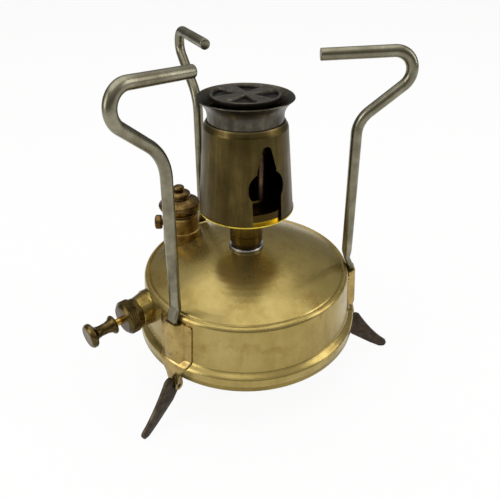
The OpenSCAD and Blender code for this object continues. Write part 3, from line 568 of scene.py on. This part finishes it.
def pot_support(i):
    """A rod from its tang's foot, through the jog, the knee and the outer bend, to its tip."""
    hook = HOOKS[i]
    low = from_wall(TANG_OUT, TANG_RISE)
    high = low + JOG
    foot = from_wall(TANG_OUT, -TANG_L)
    knee = KNEE - Vector((0, hook.drop))
    corner = Vector((hook.reach, CORNER_Z - hook.drop + hook.rise))
    tip = Vector((hook.tip_r, TIP_Z - hook.drop + hook.tip_rise))
    points, run = rounded_way([foot, low, high, knee, corner, tip],
                              [JOG_BEND, JOG_BEND, hook.knee_bend, hook.outer_bend])
    # More stations along the straight lengths, so that the section can change there
    fine, at = [], []
    for (a, b), start in zip(zip(points, points[1:]), run):
        pieces = max(1, int((b - a).length / STATION_STEP))
        for k in range(pieces):
            fine.append(a.lerp(b, k / pieces))
            at.append(start + (b - a).length * k / pieces)
    # Close stations at both ends, for the round that the cut edges have
    for left in END_STATIONS[::-1]:
        share = left / (run[-1] - run[-2])
        fine.append(points[-1].lerp(points[-2], share))
        at.append(run[-1] - left)
    for k, left in enumerate(END_STATIONS[1:]):
        fine.insert(k + 1, points[0].lerp(points[1], left / run[1]))
        at.insert(k + 1, left)
    spin = about_z(LEG_ANGLE[i])
    hinge = Vector((high.x, 0, high.y))
    upwards = Vector((knee.x - high.x, 0, knee.y - high.y)).normalized()
    flat_l = TANG_L + TANG_RISE + JOG.length - FLAT_SHORT
    stations = []
    for k, (point, gone) in enumerate(zip(fine, at)):
        before = fine[max(k - 1, 0)]
        after = fine[min(k + 1, len(fine) - 1)]
        along = (after - before).normalized()
        # From the flat tang and its jog to the round rod
        round_off = smooth((gone - flat_l) / ROUNDING_L)
        half_w = TANG_HALF[0] * (1 - round_off) + ROD_R * round_off
        half_t = TANG_HALF[1] * (1 - round_off) + ROD_R * round_off
        squareness = FLAT + (ROUND - FLAT) * round_off
        short = max(0.0, END_ROUND - min(at[-1] - gone, gone))
        cut = END_ROUND - math.sqrt(max(END_ROUND ** 2 - short ** 2, 0.0))
        turned = Matrix.Rotation(math.radians(hook.turn) * round_off, 3, upwards)
        centre = spin @ (hinge + turned @ (Vector((point.x, 0, point.y)) - hinge))
        across = spin @ (turned @ Vector((0, half_w - cut, 0)))
        through = spin @ (turned @ (Vector((-along.y, 0, along.x)) * (half_t - cut)))
        stations.append((centre, across, through, squareness))
    stand_for(swept(f"support_rod_{i}", stations), f"pot_support_{i}", SUPPORT_STEEL)


for i in LEGS:
    pot_support(i)

# ---- Pump cap: turned, with a diamond knurl round its grip ----

# The pump's axis: its height, its direction, and how far it passes from the burner's axis
PUMP_Z = 69.5
PUMP_TURN = 222.4
PUMP_ASIDE = -22.0
PUMP_CAP_AT = 82.65


def knurl_tree():
    """Diamonds in staggered rows round the grip; sizes come in by named inputs, in metres."""
    tree = bpy.data.node_groups.new("diamond_knurl", "GeometryNodeTree")
    ports = tree.interface
    ports.new_socket("Geometry", in_out="INPUT", socket_type="NodeSocketGeometry")
    for name, kind in (("Around", "Int"), ("Rows", "Int"), ("Grip Radius", "Float"),
                       ("First Row", "Float"), ("Row Step", "Float"), ("Half Width", "Float"),
                       ("Tooth Height", "Float")):
        ports.new_socket(name, in_out="INPUT", socket_type=f"NodeSocket{kind}")
    ports.new_socket("Finish", in_out="INPUT", socket_type="NodeSocketMaterial")
    ports.new_socket("Geometry", in_out="OUTPUT", socket_type="NodeSocketGeometry")
    given = add(tree, "NodeGroupInput").outputs
    count = add(tree, "ShaderNodeMath", {"operation": "MULTIPLY"},
                {0: given["Around"], 1: given["Rows"]})
    points = add(tree, "GeometryNodePoints", links={"Count": count.outputs[0]})
    index = add(tree, "GeometryNodeInputIndex").outputs[0]
    row = add(tree, "ShaderNodeMath", {"operation": "DIVIDE"}, {0: index, 1: given["Around"]})
    row = add(tree, "ShaderNodeMath", {"operation": "FLOOR"}, {0: row.outputs[0]}).outputs[0]
    odd = add(tree, "ShaderNodeMath", {"operation": "MODULO", 1: 2.0}, {0: row})
    place_round = add(tree, "ShaderNodeMath", {"operation": "MULTIPLY_ADD", 1: 0.5},
                      {0: odd.outputs[0], 2: index})
    part = add(tree, "ShaderNodeMath", {"operation": "DIVIDE"},
               {0: place_round.outputs[0], 1: given["Around"]})
    angle = add(tree, "ShaderNodeMath", {"operation": "MULTIPLY", 1: 2 * math.pi},
                {0: part.outputs[0]}).outputs[0]
    x = add(tree, "ShaderNodeMath", {"operation": "COSINE"}, {0: angle})
    x = add(tree, "ShaderNodeMath", {"operation": "MULTIPLY"},
            {0: x.outputs[0], 1: given["Grip Radius"]})
    y = add(tree, "ShaderNodeMath", {"operation": "SINE"}, {0: angle})
    y = add(tree, "ShaderNodeMath", {"operation": "MULTIPLY"},
            {0: y.outputs[0], 1: given["Grip Radius"]})
    z = add(tree, "ShaderNodeMath", {"operation": "MULTIPLY_ADD"},
            {0: row, 1: given["Row Step"], 2: given["First Row"]})
    spot = add(tree, "ShaderNodeCombineXYZ", links={0: x.outputs[0], 1: y.outputs[0],
                                                   2: z.outputs[0]})
    points = add(tree, "GeometryNodeSetPosition",
                 links={"Geometry": points.outputs[0], "Position": spot.outputs[0]})
    tooth = add(tree, "GeometryNodeMeshCone", {"Vertices": 4, "Radius Top": 0.0},
                {"Radius Bottom": given["Half Width"], "Depth": given["Tooth Height"]})
    facing = add(tree, "ShaderNodeCombineXYZ", {1: math.pi / 2}, {2: angle})
    teeth = add(tree, "GeometryNodeInstanceOnPoints",
                links={"Points": points.outputs[0], "Instance": tooth.outputs["Mesh"],
                       "Rotation": facing.outputs[0]})
    both = add(tree, "GeometryNodeJoinGeometry", links={0: teeth.outputs[0]})
    tree.links.new(given["Geometry"], both.inputs[0])
    real = add(tree, "GeometryNodeRealizeInstances", links={0: both.outputs[0]})
    dressed = add(tree, "GeometryNodeSetMaterial",
                  links={"Geometry": real.outputs[0], "Material": given["Finish"]})
    add(tree, "NodeGroupOutput", links={"Geometry": dressed.outputs[0]})
    return tree


def knurled_cap():
    """The cap with its knurl, turned to the pump's axis."""
    # The real knurl is finer, about 60 round; 40 is as coarse as it needs to show
    grip_r, tooth_h, around, rows = 11.45, 0.52, 40, 6
    sunk = 0.06
    outline = [(9.55, 0), (10.4, 0), (10.7, 0.4), (10.7, 2.9), (11.3, 3.1), (grip_r, 3.6),
               (grip_r, 9.3), (11.3, 9.75), (9.6, 11.25), (9.2, 11.5), (2.56, 11.5), (2.56, 9.5),
               (8.6, 9.5), (8.6, 3.25), (9.55, 3.25)]
    body = lathe("pump_cap_body", outline, steps=128)
    tree = knurl_tree()
    knurl = body.modifiers.new("knurl", "NODES")
    knurl.node_group = tree
    half_w = math.pi * grip_r / around
    values = {"Around": around, "Rows": rows, "Grip Radius": (grip_r - sunk) * MM,
              "First Row": 4.2 * MM, "Row Step": half_w * MM, "Half Width": half_w * MM,
              "Tooth Height": (tooth_h + sunk) * MM, "Finish": PUMP_BRASS}
    for socket in tree.interface.items_tree:
        if socket.in_out == "INPUT" and socket.name in values:
            knurl[socket.identifier] = values[socket.name]
    mesh = plain_mesh(body)
    bpy.data.objects.remove(body)
    mesh.name = "knurled_pump_cap"
    frame_of_cap = Matrix.Translation((0, 0, PUMP_Z)) @ about_z(PUMP_TURN) \
        @ Matrix.Translation((PUMP_CAP_AT, PUMP_ASIDE, 0)) @ Matrix.Rotation(math.pi / 2, 4, "Y")
    mesh.transform(Matrix.Scale(1 / MM, 4))
    stand_for(finished("knurled_pump_cap", mesh, frame_of_cap, sharp=30), "pump_cap", PUMP_BRASS)


knurled_cap()

# ---- Flame plate: a pressed steel disc with a raised cross ----


def flame_plate():
    """The disc as a polar grid whose height is the pressing: rim and cross up, pockets down."""
    low, high = size("flame_plate")
    radius = high.x
    top, bottom = high.z, high.z - 2.6
    first_arm, pocket_depth, rim_w, hub_r = 37.0, 2.0, 1.8, 3.6
    arm_half_w, arm_flare = 1.6, 4.4
    rim_ease = 0.25
    rings, spokes = 44, 192
    made = bmesh.new()

    def height(r, angle):
        # Distance from the nearest arm's centre line, and the arm's half-width there
        offset = (angle - first_arm + 45) % 90 - 45
        sideways = r * math.sin(math.radians(abs(offset)))
        half_w = arm_half_w + arm_flare * r / radius
        off_arm = smooth((sideways - half_w) / 0.8)
        inside_rim = smooth((radius - rim_w - r) / 0.7)
        off_hub = smooth((r - hub_r) / 0.9)
        return top - pocket_depth * off_arm * inside_rim * off_hub

    centre = made.verts.new((0, 0, top))
    grid = []
    for n in range(1, rings + 1):
        r = radius * n / rings
        ease = rim_ease if n == rings else 0.0
        grid.append([
            made.verts.new((r * math.cos(2 * math.pi * k / spokes),
                            r * math.sin(2 * math.pi * k / spokes),
                            height(r, 360 * k / spokes) - ease))
            for k in range(spokes)
        ])
    # Turned-down edge and flat underside
    under = [made.verts.new((v.co.x, v.co.y, bottom)) for v in grid[-1]]
    for inner, outer in zip(grid, grid[1:] + [under]):
        band(made, inner, outer)
    pole = made.verts.new((0, 0, bottom))
    for k in range(spokes):
        n = (k + 1) % spokes
        made.faces.new((centre, grid[0][k], grid[0][n]))
        made.faces.new((under[k], pole, under[n]))
    disc = finished("plate_disc", closed_mesh(made, "plate_disc"))
    legs = []
    leg_r, leg_w, leg_t, leg_edge, overlap = 19.0, 4.0, 1.0, 0.2, 0.5
    outline = [(-leg_w / 2, low.z), (leg_w / 2, low.z), (leg_w / 2, bottom + overlap),
               (-leg_w / 2, bottom + overlap)]
    for turn in (30, 150, 270):
        stand = about_z(turn) @ Matrix.Translation((leg_r - leg_t / 2, 0, 0)) \
            @ Matrix.Rotation(math.pi / 2, 4, "Z") @ Matrix.Rotation(math.pi / 2, 4, "X")
        legs.append(plate(f"plate_leg_{turn}", outline, leg_t, leg_edge, stand))
    stand_for(joined("pressed_flame_plate", [disc] + legs), "flame_plate", PLATE_STEEL)


flame_plate()

# ---- Camera, light and floor ----

# What the lamps face, and the share of its own white that the paper shows to the camera and
# in a mirror
LIT_POINT = (0, 0, 0.1)
SEEN_WHITE, MIRRORED_WHITE = 0.93, 0.3


def camera():
    """At the photograph's viewing angle: close, looking down at about 33 degrees."""
    data = bpy.data.cameras.new("view")
    # A lens as long as the frame is wide
    data.sensor_width = 36.0
    data.lens = 36.0
    data.clip_start = 0.01
    eye = bpy.data.objects.new("view", data)
    eye.location = (0.0, -0.3077, 0.2933)
    eye.rotation_euler = (math.radians(90 - 32.81), 0.0, math.radians(-0.503))
    bpy.context.scene.collection.objects.link(eye)
    bpy.context.scene.camera = eye


def floor():
    """A pale sweep of paper."""
    mesh = bpy.data.meshes.new("paper_floor")
    reach = 3.0
    corners = [(-reach, -reach, 0), (reach, -reach, 0), (reach, reach, 0), (-reach, reach, 0)]
    mesh.from_pydata(corners, [], [(0, 1, 2, 3)])
    sheet = bpy.data.objects.new("paper_floor", mesh)
    sheet.location.z = -0.0002
    bpy.context.scene.collection.objects.link(sheet)
    material = bpy.data.materials.new("white_paper")
    material.use_nodes = True
    tree = material.node_tree
    tree.nodes.clear()
    paper = add(tree, "ShaderNodeBsdfDiffuse", {"Color": linear("#F4F4F2")})
    glow = add(tree, "ShaderNodeEmission", {"Color": (1, 1, 1, 1), "Strength": 1.0})
    path = add(tree, "ShaderNodeLightPath")
    mirrored = add(tree, "ShaderNodeMath", {"operation": "MAXIMUM"},
                   {0: path.outputs["Is Glossy Ray"], 1: path.outputs["Is Transmission Ray"]})
    faint = add(tree, "ShaderNodeMath", {"operation": "MULTIPLY", 1: MIRRORED_WHITE},
                {0: mirrored.outputs[0]})
    share = add(tree, "ShaderNodeMath", {"operation": "MULTIPLY_ADD", 1: SEEN_WHITE},
                {0: path.outputs["Is Camera Ray"], 2: faint.outputs[0]})
    mix = add(tree, "ShaderNodeMixShader", links={0: share.outputs[0], 1: paper.outputs[0],
                                                  2: glow.outputs[0]})
    add(tree, "ShaderNodeOutputMaterial", links={"Surface": mix.outputs[0]})
    mesh.materials.append(material)


def sky():
    """White to the camera; a soft room, paler above, to everything else."""
    world = bpy.data.worlds.new("studio")
    bpy.context.scene.world = world
    world.use_nodes = True
    tree = world.node_tree
    tree.nodes.clear()
    spot = add(tree, "ShaderNodeTexCoord").outputs["Generated"]
    parts = add(tree, "ShaderNodeSeparateXYZ", links={0: spot})
    room = add(tree, "ShaderNodeValToRGB", links={"Fac": parts.outputs["Z"]},
               stops=[(0.0, "#6E6E6A"), (0.3, "#9A9A96"), (0.75, "#D8D8D4"), (1.0, "#F0F0EC")])
    white = add(tree, "ShaderNodeBackground", {"Color": (1, 1, 1, 1), "Strength": 1.0})
    soft = add(tree, "ShaderNodeBackground", {"Strength": 0.75},
               {"Color": room.outputs["Color"]})
    path = add(tree, "ShaderNodeLightPath")
    mix = add(tree, "ShaderNodeMixShader", links={0: path.outputs["Is Camera Ray"],
                                                  1: soft.outputs[0], 2: white.outputs[0]})
    add(tree, "ShaderNodeOutputWorld", links={"Surface": mix.outputs[0]})


def lamp(name, at, width, height, watts):
    """A softbox that faces the burner's foot."""
    data = bpy.data.lights.new(name, "AREA")
    data.shape = "RECTANGLE"
    data.size = width
    data.size_y = height
    data.energy = watts
    light = bpy.data.objects.new(name, data)
    light.location = at
    light.rotation_euler = (Vector(LIT_POINT) - Vector(at)).to_track_quat("-Z", "Y").to_euler()
    bpy.context.scene.collection.objects.link(light)


bpy.context.scene.view_settings.view_transform = "Standard"
camera()
floor()
sky()
lamp("softbox_above", (-0.1, 0.1, 1.3), 1.8, 1.6, 9.0)
lamp("softbox_left", (-0.9, -0.5, 0.55), 0.5, 0.7, 4.0)
lamp("softbox_right", (0.9, -0.1, 0.6), 0.4, 0.7, 2.5)
